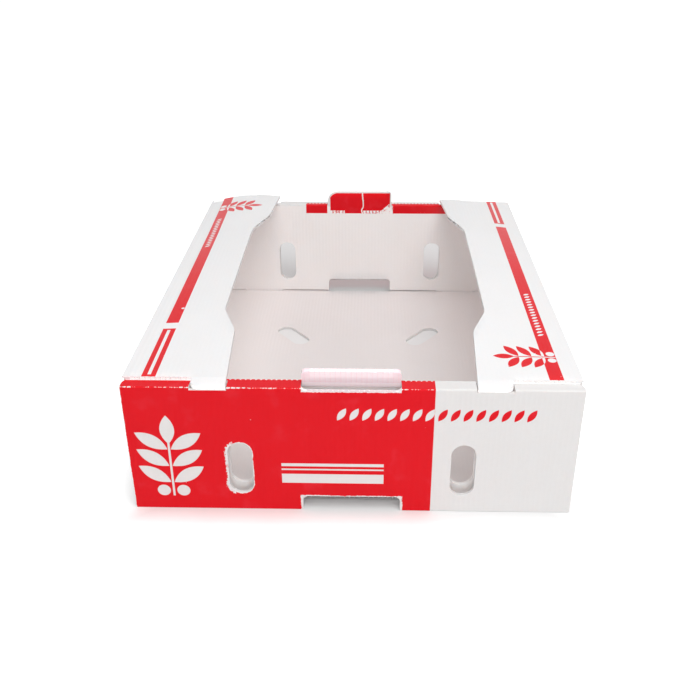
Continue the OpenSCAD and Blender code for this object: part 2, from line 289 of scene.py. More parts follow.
# %% A pointed leaf
leaf_group, leaf_in, leaf_out = start_group(
    "print leaf",
    [POINT, CENTRE, ("Angle", NUMBER, 0), ("Length", NUMBER, 30), ("Width", NUMBER, 12)], ["Mask"])
leaf_offset = vector_calc(leaf_group, "SUBTRACT", leaf_in["Point"], leaf_in["Centre"])
leaf_turn = add_node(leaf_group, "ShaderNodeVectorRotate", rotation_type="Z_AXIS", invert=True)
feed(leaf_group, leaf_turn.inputs["Vector"], leaf_offset)
feed(leaf_group, leaf_turn.inputs["Angle"], leaf_in["Angle"])
leaf_x, leaf_y, _ = split(leaf_group, leaf_turn.outputs["Vector"])
leaf_along = calc(leaf_group, "DIVIDE", scaled(leaf_group, leaf_x, 2), leaf_in["Length"])
leaf_bulge = opposite(leaf_group, calc(leaf_group, "MULTIPLY", leaf_along, leaf_along))
leaf_reach = calc(leaf_group, "MULTIPLY", leaf_bulge, scaled(leaf_group, leaf_in["Width"], 0.5))
leaf_depth = minus(leaf_group, leaf_reach, unsigned(leaf_group, leaf_y))
feed(leaf_group, leaf_out["Mask"], soft_print(leaf_group, leaf_depth))
print("group:", leaf_group.name)

# %% [markdown]
# ## Ornaments of the box's own
# The box carries a plain sprig with seven leaves and two berries, and a row of slanting leaves. Both are
# groups made from the groups above, which is how a small set of shapes grows into a pattern that can be
# used at any size and turn. The row needs only one leaf: the position is wrapped round at every pitch.

# %% A sprig with leaves and berries
STEM_MIDDLE = (0, 28, 0)
STEM_SIZE = (2, 58, 0)
LEAF_HEIGHTS = (23, 41, 59)
LEAF_OUT = 15.5
LEAF_SPREAD = 58
LEAF_LENGTH = 33
LEAF_WIDTH = 13
TOP_LEAF_HEIGHT = 71
TOP_LEAF_LENGTH = 30
BERRY_OUT = 9
BERRY_HEIGHT = 5
BERRY_RADIUS = 6
UPRIGHT = 90

sprig_group, sprig_in, sprig_out = start_group("sprig", [POINT], ["Mask"])


def sprig_leaf(across, up, angle, length):
    return place_group(
        sprig_group, leaf_group, Point=sprig_in["Point"], Centre=(across, up, 0),
        Angle=math.radians(angle), Length=length, Width=LEAF_WIDTH)["Mask"]


sprig_masks = [place_group(
    sprig_group, bar_group, Point=sprig_in["Point"], Centre=STEM_MIDDLE, Size=STEM_SIZE)["Mask"]]
for side in (-1, 1):
    for height in LEAF_HEIGHTS:
        sprig_masks.append(sprig_leaf(side * LEAF_OUT, height, UPRIGHT - side * LEAF_SPREAD, LEAF_LENGTH))
    sprig_masks.append(place_group(
        sprig_group, disc_group, Point=sprig_in["Point"], Centre=(side * BERRY_OUT, BERRY_HEIGHT, 0),
        Radius=BERRY_RADIUS)["Mask"])
sprig_masks.append(sprig_leaf(0, TOP_LEAF_HEIGHT, UPRIGHT, TOP_LEAF_LENGTH))
feed(sprig_group, sprig_out["Mask"], either(sprig_group, *sprig_masks))
print("group:", sprig_group.name, "with", len(sprig_masks), "shapes")

# %% A row of slanting leaves
ROW_SLANT = math.radians(58)
ROW_LEAF_LENGTH = 1.12
ROW_LEAF_WIDTH = 0.46

row_group, row_in, row_out = start_group(
    "leaf row",
    [POINT, CENTRE, ("Length", NUMBER, 100), ("Pitch", NUMBER, 11), ("Height", NUMBER, 12)], ["Mask"])
row_x, row_y, _ = split(row_group, vector_calc(row_group, "SUBTRACT", row_in["Point"], row_in["Centre"]))
row_wrap = calc(row_group, "FLOORED_MODULO", row_x, row_in["Pitch"])
row_cell = minus(row_group, row_wrap, scaled(row_group, row_in["Pitch"], 0.5))
row_leaf = place_group(
    row_group, leaf_group, Point=point(row_group, row_cell, row_y), Angle=ROW_SLANT,
    Length=scaled(row_group, row_in["Height"], ROW_LEAF_LENGTH),
    Width=scaled(row_group, row_in["Height"], ROW_LEAF_WIDTH))["Mask"]
row_depth = minus(row_group, scaled(row_group, row_in["Length"], 0.5), unsigned(row_group, row_x))
feed(row_group, row_out["Mask"], both(row_group, row_leaf, soft_print(row_group, row_depth)))
print("group:", row_group.name)

# %% [markdown]
# ## Fluting, tone and worn ink
# The sheet is two thin skins on upright webs, and every web prints through as a faint rib. The skins are
# never quite even in tone or gloss, and the ink comes off at cuts and folds. These three effects are on
# the tray and on the flaps alike, so each is a group with its own inputs.

# %% Ribs at the flute pitch
WEB_START = 0.68
RIB_SWING = 0.5

rib_group, rib_in, rib_out = start_group("flute ribs", [("Across", NUMBER, 0)], ["Height", "Web"])
rib_phase = calc(rib_group, "FRACT", calc(rib_group, "DIVIDE", rib_in["Across"], FLUTE_PITCH))
rib_off_middle = scaled(rib_group, gap_from(rib_group, rib_phase, 0.5), 2)
rib_wave = calc(rib_group, "COSINE", scaled(rib_group, rib_phase, 2 * math.pi))
feed(rib_group, rib_out["Web"], step(rib_group, rib_off_middle, WEB_START, 1))
feed(rib_group, rib_out["Height"], scaled(rib_group, rib_wave, RIB_SWING))
print("group:", rib_group.name, "every", FLUTE_PITCH, "mm")

# %% Uneven tone and gloss
CLOUD_SCALE = 0.012
CLOUD_TONE = 0.05
GRAIN_SCALE = 0.35
GRAIN_TONE = 0.03
TONE_START = 0.962
WEB_TONE = -0.008
GLOSS_START = 0.3
GLOSS_GRAIN = 0.2

tone_group, tone_in, tone_out = start_group(
    "sheet tone", [POINT, ("Web", NUMBER, 0)], ["Tone", "Roughness"])
tone_cloud = noise(tone_group, tone_in["Point"], CLOUD_SCALE, 3)
tone_grain = noise(tone_group, tone_in["Point"], GRAIN_SCALE, 2)
tone_value = scaled(tone_group, tone_cloud, CLOUD_TONE, TONE_START)
tone_value = scaled(tone_group, tone_grain, GRAIN_TONE, tone_value)
tone_value = scaled(tone_group, tone_in["Web"], WEB_TONE, tone_value)
feed(tone_group, tone_out["Tone"], tone_value)
feed(tone_group, tone_out["Roughness"], scaled(tone_group, tone_grain, GLOSS_GRAIN, GLOSS_START))
print("group:", tone_group.name)

# %% Ink that wears at cuts and folds
BITE_SCALE = 0.55
BITE_SWING = 1.1
PATCH_SCALE = 0.05
PATCH_SWING = 0.8
LOSS_RANGE = (0.62, 0.78)
PINHOLE_SCALE = 0.3
PINHOLE_RANGE = (0.80, 0.83)
SCUFF_RANGE = (0.55, 0.75)

wear_group, wear_in, wear_out = start_group(
    "worn ink", [POINT, ("Ink", NUMBER, 1), ("Edge", NUMBER, 0)], ["Ink", "Scuff"])
wear_rough = noise(wear_group, wear_in["Point"], BITE_SCALE, 3)
wear_patch = noise(wear_group, wear_in["Point"], PATCH_SCALE, 2)
wear_shift = scaled(wear_group, wear_rough, BITE_SWING, -BITE_SWING / 2)
wear_drift = scaled(wear_group, wear_patch, PATCH_SWING, -PATCH_SWING / 2)
wear_bite = calc(wear_group, "ADD", wear_in["Edge"], wear_shift)
wear_bite = calc(wear_group, "ADD", wear_bite, wear_drift)
wear_loss = step(wear_group, wear_bite, *LOSS_RANGE)
wear_pinhole = step(wear_group, noise(wear_group, wear_in["Point"], PINHOLE_SCALE, 1), *PINHOLE_RANGE)
wear_keep = opposite(wear_group, either(wear_group, wear_loss, wear_pinhole))
feed(wear_group, wear_out["Ink"], both(wear_group, wear_in["Ink"], wear_keep))
feed(wear_group, wear_out["Scuff"], step(wear_group, wear_patch, *SCUFF_RANGE))
print("group:", wear_group.name)

# %% [markdown]
# ## The printed ends
# The two ends carry the same print, turned half round. Folding the position about the middle, with
# `u` across the end as its reader sees it, means that the drawing is made once for both. The ink lies on
# one side of the sheet only: it covers the outer panel, runs over the rolled top and stops on the way down
# inside. The direction a surface faces, its normal, tells those faces from cut edges.

# %% Start a material for the sheet
def sheet_material(name):
    material = bpy.data.materials.new(name)
    material.use_nodes = True
    material.cycles.emission_sampling = "NONE"
    return material


tray_material = sheet_material("printed_fluted_sheet")
ends = tray_material.node_tree
print("material:", tray_material.name)

# %% Fold the position of a point on an end
ends_coord = add_node(ends, "ShaderNodeTexCoord")
ends_mm = vector_calc(ends, "SCALE", ends_coord.outputs["Object"], MM)
end_x, end_y, end_z = split(ends, ends_mm)
end_sign = calc(ends, "SIGN", end_y)
end_u = scaled(ends, calc(ends, "MULTIPLY", end_sign, end_x), -1)
end_v = unsigned(ends, end_y)
end_page = point(ends, end_u, end_z)
off_middle = unsigned(ends, end_x)
at_front = below(ends, end_y, 0)
at_rear = opposite(ends, at_front)
print("ends folded about the middle")

# %% Which way a face looks
FACING = 0.3
FACING_UP = 0.5

facing_x, facing_y, facing_z = split(ends, ends_coord.outputs["Normal"])
facing_out = calc(ends, "MULTIPLY", facing_y, end_sign)
faces_out = above(ends, facing_out, FACING)
faces_in = below(ends, facing_out, -FACING)
faces_up = above(ends, facing_z, FACING_UP)
print("faces sorted by their normals")

# %% Which faces carry ink
INK_FOOT = 118.5
INK_BLUR = 0.3
OUTER_SKIN = HALF_LENGTH - 1.8
INNER_SKIN = BAND_EDGE + 2.5
TOP_START = BAND_EDGE - 0.5
TOP_HEIGHTS = (WALL_TOP - 1.6, WALL_TOP + 1)
TAB_START = WALL_TOP + 0.6

on_tab = above(ends, end_z, TAB_START)
outer_face = both(ends, faces_out, above(ends, end_v, OUTER_SKIN), opposite(ends, on_tab))
rolled_top = both(ends, faces_up, between(ends, end_z, *TOP_HEIGHTS), above(ends, end_v, TOP_START))
ink_stop = step(ends, end_z, INK_FOOT - INK_BLUR, INK_FOOT + INK_BLUR)
inner_face = both(ends, faces_in, ink_stop, either(ends, below(ends, end_v, INNER_SKIN), on_tab))
inked_face = either(ends, outer_face, rolled_top, inner_face)
print("ink stops inside at", INK_FOOT, "mm")

# %% Red field and its ornaments
RED_END = 72.3
END_ROW_PLACE = (74, 104, 0)
END_ROW_LENGTH = 176
END_ROW_PITCH = 11
END_ROW_HEIGHT = 13
BARS_MIDDLE = -17
BARS_LENGTH = 92
END_BARS = ((35, 10), (45, 1.6), (50, 3.2))
END_SPRIG_FOOT = (-163, 15, 0)


def end_bar(height, thick):
    return place_group(
        ends, bar_group, Point=end_page, Centre=(BARS_MIDDLE, height, 0),
        Size=(BARS_LENGTH, thick, 0))["Mask"]


red_field = step(ends, end_u, RED_END + PRINT_BLUR, RED_END - PRINT_BLUR)
end_row = place_group(
    ends, row_group, Point=end_page, Centre=END_ROW_PLACE, Length=END_ROW_LENGTH, Pitch=END_ROW_PITCH,
    Height=END_ROW_HEIGHT)["Mask"]
end_bars = [end_bar(height, thick) for height, thick in END_BARS]
sprig_place = vector_calc(ends, "SUBTRACT", end_page, END_SPRIG_FOOT)
end_sprig = place_group(ends, sprig_group, Point=sprig_place)["Mask"]
end_art = both(ends, outer_face, either(ends, end_row, end_sprig, *end_bars))
end_ink = both(ends, inked_face, counterchange(ends, red_field, end_art))
print("red field ends at u =", RED_END, "mm")

# %% [markdown]
# ## Where the ink has gone
# Ink cracks along a crease, most of all over the webs, and it chips where a knife went through: round the
# air holes, the recess and the notch. A distance to each of those lines is turned into a closeness from 0
# to 1, and the wear group roughens it with noise so that no rim is the same all along.

# %% How close a point is to a cut
RIM_REACH = 2.2
TORN_REACH = 4.5
TORN_START = -106
RECESS_REACH = 2.0
RECESS_START = 238
NOTCH_REACH = 3.2
CORNER_REACH = 1.4

hole_across = minus(ends, off_middle, HOLE_PLACE)
hole_up = calc(ends, "MAXIMUM", minus(ends, gap_from(ends, end_z, HOLE_MIDDLE), HOLE_STRAIGHT), 0)
hole_rim = minus(ends, hypotenuse(ends, hole_across, hole_up), HOLE_RADIUS)
torn_side = both(ends, below(ends, end_u, TORN_START), at_front)
hole_edge = closeness(ends, hole_rim, scaled(ends, torn_side, TORN_REACH, RIM_REACH))
recess_gap = calc(ends, "MAXIMUM", minus(ends, off_middle, RECESS_HALF), minus(ends, RECESS_FOOT, end_z))
recess_edge = both(ends, closeness(ends, recess_gap, RECESS_REACH), above(ends, end_v, RECESS_START))
notch_gap = calc(ends, "MAXIMUM", minus(ends, off_middle, NOTCH_HALF), minus(ends, end_z, NOTCH_HEIGHT))
corner_gap = minus(ends, HALF_WIDTH, off_middle)
cut_edge = either(
    ends, both(ends, hole_edge, outer_face), recess_edge, closeness(ends, notch_gap, NOTCH_REACH),
    closeness(ends, corner_gap, CORNER_REACH))
print("cuts: air holes, recess, notch, corners")

# %% Cracks along the creases
CREASE_REACH = 2.0
CREASE_AWAY = 9
FOLD_START = 44
CRACK_SCALE = 0.03
CRACK_RANGE = (0.34, 0.56)
RUN_START = 0.72
RUN_RISE = 0.45
DASH_SLOPE = -1.3
DASH_START = 0.25
DASH_RISE = 0.75

top_gap = gap_from(ends, end_z, WALL_TOP)
outer_crease = calc(ends, "MAXIMUM", minus(ends, HALF_LENGTH, end_v), top_gap)
inner_crease = calc(ends, "MAXIMUM", minus(ends, end_v, BAND_EDGE), top_gap)
front_fold = both(ends, above(ends, off_middle, FOLD_START), at_front)
inner_kept = calc(ends, "ADD", inner_crease, scaled(ends, front_fold, -CREASE_AWAY, CREASE_AWAY))
crease_gap = calc(ends, "MINIMUM", outer_crease, inner_kept)
ends_web = place_group(ends, rib_group, Across=end_x)["Web"]
dash = scaled(ends, ends_web, DASH_SLOPE, 1)
crack_run = step(ends, noise(ends, ends_mm, CRACK_SCALE, 2), *CRACK_RANGE)
fine_crack = both(
    ends, closeness(ends, crease_gap, CREASE_REACH), scaled(ends, dash, DASH_RISE, DASH_START),
    scaled(ends, crack_run, RUN_RISE, RUN_START))
print("creases crack at the flute pitch")

# %% Bare teeth at the front and a rubbed fold at the rear
BARE = 1.5
TOOTH_SLOPE = 1.2
RUB_START = 240

tooth_depth = scaled(ends, calc(ends, "PINGPONG", end_x, FLUTE_PITCH / 2), TOOTH_SLOPE)
teeth = both(ends, below(ends, inner_crease, tooth_depth), front_fold)
rub_line = calc(ends, "ADD", tooth_depth, RUB_START)
rear_rub = both(ends, rolled_top, at_rear, above(ends, end_v, rub_line))
crack = either(ends, fine_crack, scaled(ends, teeth, BARE), scaled(ends, rear_rub, BARE))
print("teeth every", FLUTE_PITCH, "mm")

# %% A rear tab that has been bent about
TAB_WEAR_FOOT = 118
SPLIT_SCALE = 0.1
SPLIT_SWING = 7
SPLIT_PLACE = 7.9
SPLIT_RANGE = (1.6, 0.5)
SLIT_SPANS = ((-43.6, -39.5), (41, 43.8))
ROUND_CENTRE = (-29, 135)
ROUND_RANGE = (11.4, 12.4)
TAB_SPAN = (-46, 46)
WEDGE_SPAN = (27, 45)
WEDGE_SLOPE = 0.9
WEDGE_START = 96
DASH_HEIGHTS = (118, 122.5)
DASH_SPANS = ((4, 44), (-40, -20))

split_wander = scaled(ends, noise(ends, ends_mm, SPLIT_SCALE, 2), SPLIT_SWING, -SPLIT_PLACE)
split_gap = unsigned(ends, calc(ends, "ADD", end_x, split_wander))
split_line = step(ends, split_gap, *SPLIT_RANGE)
slit_edges = either(ends, *[between(ends, end_x, *span) for span in SLIT_SPANS])
round_across = calc(ends, "MINIMUM", minus(ends, end_x, ROUND_CENTRE[0]), 0)
round_up = calc(ends, "MAXIMUM", minus(ends, end_z, ROUND_CENTRE[1]), 0)
round_span = hypotenuse(ends, round_across, round_up)
round_rim = both(ends, step(ends, round_span, *ROUND_RANGE), between(ends, end_x, *TAB_SPAN), on_tab)
wedge_top = scaled(ends, end_x, WEDGE_SLOPE, WEDGE_START)
wedge = both(ends, between(ends, end_x, *WEDGE_SPAN), below(ends, end_z, wedge_top))
dash_runs = either(ends, *[between(ends, end_x, *span) for span in DASH_SPANS])
foot_dashes = both(ends, between(ends, end_z, *DASH_HEIGHTS), dash_runs, dash)
print("rear tab: split line, bare rim, scuffed foot")

# %% Wear the ink away
SPLIT_WEAR = 1.1
WEDGE_WEAR = 0.74
DASH_WEAR = 0.8

tab_marks = either(
    ends, scaled(ends, split_line, SPLIT_WEAR), scaled(ends, slit_edges, BARE),
    scaled(ends, round_rim, BARE), scaled(ends, wedge, WEDGE_WEAR), scaled(ends, foot_dashes, DASH_WEAR))
tab_wear = both(ends, at_rear, faces_in, above(ends, end_z, TAB_WEAR_FOOT), tab_marks)
edge_wear = either(ends, cut_edge, crack, tab_wear)
ends_worn = place_group(ends, wear_group, Point=ends_mm, Ink=end_ink, Edge=edge_wear)
print("worn ink linked")

# %% [markdown]
# ## The bare plastic
# The thin sheet lets a little of the ink glow through to its back, so the bare side of a printed tab is
# tinted; that tint is also painted paler than the sheet, as painted light on a tab in shade. Inside, the
# sheet is painted warmer and lighter than outside, as painted light that fills the box, and the middle of
# the floor is painted grey, as painted shade. Each colour is laid over the one before with a mask, as paint
# would be.

# %% Mix colours with a mask
# A Mix node has a pair of inputs for each kind of data, and its colour sockets are found by number.
COLOUR_A = 6
COLOUR_B = 7
COLOUR_RESULT = 2


def mix_colour(tree, mask, first, second):
    node = add_node(tree, "ShaderNodeMix", data_type="RGBA")
    feed(tree, node.inputs["Factor"], mask)
    feed(tree, node.inputs[COLOUR_A], first)
    feed(tree, node.inputs[COLOUR_B], second)
    return node.outputs[COLOUR_RESULT]


SHEET_WHITE = (0.775, 0.76, 0.755, 1)
FLAP_LIT_WHITE = (0.865, 0.857, 0.862, 1)
INSIDE_LIT_WHITE = (0.945, 0.895, 0.883, 1)
FLOOR_SHADE_GREY = (0.79, 0.747, 0.74, 1)
MOUTH_LIT_WHITE = (0.97, 0.96, 0.955, 1)
SHOW_THROUGH_LIT = (0.97, 0.74, 0.79, 1)
print("sheet white", SHEET_WHITE[:3], "inside", INSIDE_LIT_WHITE[:3])

# %% The inside of the box
INSIDE_LENGTH = HALF_LENGTH - 3.2
INSIDE_WIDTH = HALF_WIDTH - 3
INSIDE_HEIGHTS = (2.5, 128.2)
FLOOR_TOP = 6
SHADE_RANGE = (60, 185)

box_inside = both(
    ends, below(ends, end_v, INSIDE_LENGTH), below(ends, off_middle, INSIDE_WIDTH),
    between(ends, end_z, *INSIDE_HEIGHTS))
under_flaps = step(ends, off_middle, *SHADE_RANGE)
# The middle of the floor, away from the sides below the flaps, is painted grey as painted shade.
floor_shade_middle = both(ends, box_inside, below(ends, end_z, FLOOR_TOP), opposite(ends, under_flaps))
# The inside of the box is painted lighter and warmer than the outer sheet, as painted light that fills the
# box.
ends_ground = mix_colour(ends, box_inside, SHEET_WHITE, INSIDE_LIT_WHITE)
ends_ground = mix_colour(ends, floor_shade_middle, ends_ground, FLOOR_SHADE_GREY)
print("floor middle", FLOOR_SHADE_GREY[:3])

# %% The backs of the stacking tabs
TAB_FOOT_HEIGHTS = (125, 130.7)
TAB_FOOT_SPAN = (-43.2, 43.2)
TAB_FOOT_DEPTHS = (236.2, 249.2)

tab_foot = both(
    ends, between(ends, end_z, *TAB_FOOT_HEIGHTS), between(ends, end_x, *TAB_FOOT_SPAN),
    between(ends, end_v, *TAB_FOOT_DEPTHS))
tab_back = both(ends, either(ends, on_tab, tab_foot), faces_out)
recess_floor = both(ends, tab_foot, faces_up)
# The bare back of a printed tab is tinted pink by the ink showing through, and painted paler than the sheet
# as painted light on a tab in shade.
ends_ground = mix_colour(ends, tab_back, ends_ground, SHOW_THROUGH_LIT)
print("tab back tint", SHOW_THROUGH_LIT[:3])

# %% The flute mouths of the leaning tab
FRONT_LEAN = math.radians(27)
TAB_CREASE_OUT = 235.75
TAB_CREASE_UP = 124.75
MOUTHS_ALONG = (15.9, 24.05)
MOUTHS_ACROSS = (-1.45, 1.45)
MOUTHS_SPAN = (-39, 39)

tab_lean = scaled(ends, at_front, FRONT_LEAN)
tab_cos = calc(ends, "COSINE", tab_lean)
tab_sin = calc(ends, "SINE", tab_lean)
tab_out = minus(ends, end_v, TAB_CREASE_OUT)
tab_high = minus(ends, end_z, TAB_CREASE_UP)
tab_along = calc(ends, "MULTIPLY_ADD", tab_out, tab_sin, calc(ends, "MULTIPLY", tab_high, tab_cos))
tab_across = minus(
    ends, calc(ends, "MULTIPLY", tab_out, tab_cos), calc(ends, "MULTIPLY", tab_high, tab_sin))
tab_mouths = both(
    ends, between(ends, tab_along, *MOUTHS_ALONG), between(ends, tab_across, *MOUTHS_ACROSS),
    between(ends, end_x, *MOUTHS_SPAN))
# The tab's flute mouths are painted near white, as painted light in their shaded hollows.
ends_ground = mix_colour(ends, tab_mouths, ends_ground, MOUTH_LIT_WHITE)
print("front tab leans", round(math.degrees(FRONT_LEAN)), "degrees")

# %% [markdown]
# ## Putting the end finish together
# A Principled BSDF takes the colour, gloss and bump. The skins are so thin that light comes through them
# into the flute mouths, the backs of the tabs and the inside below the flaps. A weak emission stands for
# that light. The ribs run up the ends and along the sides, so the coordinate that they repeat on changes
# with the way a face looks.

# %% Light that comes through the sheet
SEEP_COLOUR = (1.0, 0.96, 0.95)
SEEP_LIGHT = 0.24
BACK_SEEP = 0.4
WEB_SEEP = -0.2
FOOT_SEEP = 0.95
INSIDE_SEEP = 0.22

back_seep = both(ends, tab_back, scaled(ends, ends_web, WEB_SEEP, BACK_SEEP))
foot_seep = both(ends, tab_foot, either(ends, tab_back, recess_floor), FOOT_SEEP)
inside_seep = both(ends, box_inside, under_flaps, INSIDE_SEEP)
ends_seep = either(ends, tab_mouths, back_seep, foot_seep, inside_seep)
print("light through the skin", SEEP_LIGHT)

# %% Ribs and tone of the tray
SIDEWAYS = 0.5

on_side = above(ends, unsigned(ends, facing_x), SIDEWAYS)
rib_across = calc(ends, "ADD", both(ends, on_side, end_z), both(ends, opposite(ends, on_side), end_x))
ends_rib = place_group(ends, rib_group, Across=rib_across)
ends_tone = place_group(ends, tone_group, Point=ends_mm, Web=ends_rib["Web"])
print("ribs and tone linked")

# %% Finish a sheet
PRINT_RED = (0.74, 0.008, 0.016, 1)
RUBBED_RED = (0.75, 0.018, 0.03, 1)
PLASTIC_IOR = 1.49
PLASTIC_SHINE = 0.1
SKIN_GLOW = 0.7
SKIN_GLOW_COLOUR = (1.0, 0.9, 0.85)
SKIN_GLOW_DEPTH = 0.0016
RIB_STRENGTH = 0.2
RIB_HEIGHT = 0.00025


def finish_sheet(tree, ground, ink, scuff, tone, rib, seep):
    shader = tree.nodes["Principled BSDF"]
    ink_colour = mix_colour(tree, scuff, PRINT_RED, RUBBED_RED)
    inked = mix_colour(tree, ink, ground, ink_colour)
    feed(tree, shader.inputs["Base Color"], vector_calc(tree, "SCALE", inked, tone["Tone"]))
    feed(tree, shader.inputs["Roughness"], tone["Roughness"])
    feed(tree, shader.inputs["Emission Color"], vector_calc(tree, "SCALE", SEEP_COLOUR, seep))
    shader.inputs["Emission Strength"].default_value = SEEP_LIGHT
    shader.inputs["IOR"].default_value = PLASTIC_IOR
    shader.inputs["Specular IOR Level"].default_value = PLASTIC_SHINE
    shader.inputs["Subsurface Weight"].default_value = SKIN_GLOW
    shader.inputs["Subsurface Radius"].default_value = SKIN_GLOW_COLOUR
    shader.inputs["Subsurface Scale"].default_value = SKIN_GLOW_DEPTH
    bump = add_node(tree, "ShaderNodeBump")
    bump.inputs["Strength"].default_value = RIB_STRENGTH
    bump.inputs["Distance"].default_value = RIB_HEIGHT
    feed(tree, bump.inputs["Height"], rib["Height"])
    feed(tree, shader.inputs["Normal"], bump.outputs["Normal"])


print("print red", PRINT_RED[:3])

# %% Finish the tray
finish_sheet(ends, ends_ground, ends_worn["Ink"], ends_worn["Scuff"], ends_tone, ends_rib, ends_seep)
tray.material_slots[0].material = tray_material
print("tray wears", tray_material.name)

# %% [markdown]
# ## The printed flaps
# The two long flaps are printed on top only, again the same drawing turned half round: a long stripe beside
# the fold, a shorter bar, and a small sprig that lies across the stripe's end. Where a shape crosses
# the stripe it is counterchanged, red on white and white on red.

# %% Fold the position of a point on a flap
flap_material = sheet_material("printed_fluted_flap")
flaps = flap_material.node_tree
flaps_coord = add_node(flaps, "ShaderNodeTexCoord")
flaps_mm = vector_calc(flaps, "SCALE", flaps_coord.outputs["Object"], MM)
flap_x, flap_y, flap_z = split(flaps, flaps_mm)
flap_u = unsigned(flaps, flap_x)
flap_v = calc(flaps, "MULTIPLY", calc(flaps, "SIGN", flap_x), flap_y)
flap_page = point(flaps, flap_u, flap_v)
flap_off_middle = unsigned(flaps, flap_v)
on_left = below(flaps, flap_x, 0)
print("material:", flap_material.name)

# %% Which faces of a flap carry ink
MOUTHS_START = 230
MOUTH_TOP = 132.3
CURL_RISE = 4.5
FOLD_EDGE = HALF_WIDTH - 1.5

flap_side, flap_fore, flap_up = split(flaps, flaps_coord.outputs["Normal"])
flap_faces_up = above(flaps, flap_up, FACING)
curled_end = both(flaps, on_left, above(flaps, flap_y, 0))
mouth_top = scaled(flaps, curled_end, CURL_RISE, MOUTH_TOP)
above_mouth = either(flaps, above(flaps, flap_z, mouth_top), below(flaps, flap_off_middle, MOUTHS_START))
flap_top = both(flaps, flap_faces_up, below(flaps, flap_u, FOLD_EDGE), above_mouth)
print("flaps are printed up to", FOLD_EDGE, "mm")

# %% Stripe, bar and rule
STRIPE_PLACE = 176.75
STRIPE_WIDTH = 12.5
STRIPE_MIDDLE = -55
STRIPE_LENGTH = 382
SHORT_BAR_MIDDLE = 196.5
SHORT_BAR_LENGTH = 97
RULE_MIDDLE = 193
RULE_LENGTH = 84
RULE_WIDTH = 3


def flap_bar(middle, length, width):
    return place_group(
        flaps, bar_group, Point=flap_page, Centre=(STRIPE_PLACE, middle, 0),
        Size=(width, length, 0))["Mask"]


stripe = flap_bar(STRIPE_MIDDLE, STRIPE_LENGTH, STRIPE_WIDTH)
short_bar = flap_bar(SHORT_BAR_MIDDLE, SHORT_BAR_LENGTH, STRIPE_WIDTH)
bar_rule = flap_bar(RULE_MIDDLE, RULE_LENGTH, RULE_WIDTH)
flap_field = either(flaps, stripe, short_bar)
print("stripe", STRIPE_LENGTH, "mm long")

# %% Sprig, leaf row and a chip
SPRIG_SHRINK = 1.55
FLAP_SPRIG_MIDDLE = -198
FLAP_SPRIG_FOOT = 182
FLAP_ROW_MIDDLE = -110
FLAP_ROW_LENGTH = 96
FLAP_ROW_PITCH = 6
FLAP_ROW_HEIGHT = 6.5
CHIP_PLACE = (172.4, 104, 0)
CHIP_RADIUS = 1.7

sprig_across = scaled(flaps, minus(flaps, flap_v, FLAP_SPRIG_MIDDLE), SPRIG_SHRINK)
sprig_up = scaled(flaps, minus(flaps, FLAP_SPRIG_FOOT, flap_u), SPRIG_SHRINK)
flap_sprig = place_group(flaps, sprig_group, Point=point(flaps, sprig_across, sprig_up))["Mask"]
flap_row = place_group(
    flaps, row_group, Point=point(flaps, flap_v, flap_u), Centre=(FLAP_ROW_MIDDLE, STRIPE_PLACE, 0),
    Length=FLAP_ROW_LENGTH, Pitch=FLAP_ROW_PITCH, Height=FLAP_ROW_HEIGHT)["Mask"]
chip = place_group(flaps, disc_group, Point=flap_page, Centre=CHIP_PLACE, Radius=CHIP_RADIUS)["Mask"]
flap_art = either(flaps, flap_sprig, flap_row, bar_rule, both(flaps, on_left, chip))
flap_ink = both(flaps, flap_top, counterchange(flaps, flap_field, flap_art))
print("flap ornaments drawn")

# %% Worn ink, and a painted sheen towards the rear
SHEEN_RANGE = (-120, 200)
SHEEN_START = 0.99
SHEEN_LOSS = -0.09
FLAP_END_REACH = 1.5

flap_end_gap = minus(flaps, FLAP_END, flap_off_middle)
flap_worn = place_group(
    flaps, wear_group, Point=flaps_mm, Ink=flap_ink, Edge=closeness(flaps, flap_end_gap, FLAP_END_REACH))
# The ink is thinned towards the rear of the flaps, as a painted sheen where they are seen at a grazing
# angle.
sheen_fade = scaled(flaps, step(flaps, flap_y, *SHEEN_RANGE), SHEEN_LOSS, SHEEN_START)
flap_print = calc(flaps, "MULTIPLY", flap_worn["Ink"], sheen_fade)
print("flap ink fades by", -SHEEN_LOSS)

# %% Flute mouths of the flaps
MOUTH_WALL = 0.6
MOUTH_REACH = (MOUTHS_START, 238.6)
MOUTH_SPAN = (131, 197)
TIP_START = 238.5
TIP_TOP = 131

mouth_floor = both(flaps, flap_faces_up, opposite(flaps, above_mouth))
mouth_walls = [above(flaps, unsigned(flaps, way), MOUTH_WALL) for way in (flap_side, flap_fore)]
open_mouths = both(
    flaps, either(flaps, mouth_floor, *mouth_walls), between(flaps, flap_off_middle, *MOUTH_REACH),
    between(flaps, flap_u, *MOUTH_SPAN))
tab_tip = both(flaps, above(flaps, flap_off_middle, TIP_START), below(flaps, flap_z, TIP_TOP))
flap_mouths = either(flaps, open_mouths, tab_tip)
print("flap mouths from", MOUTHS_START, "mm")

# %% Finish the flaps
# The flap tops are painted lighter than the sheet of the ends, as painted light on their upturned faces,
# and their undersides take the painted light of the inside.
flap_under = below(flaps, flap_up, -FACING)
flap_ground = mix_colour(flaps, flap_under, FLAP_LIT_WHITE, INSIDE_LIT_WHITE)
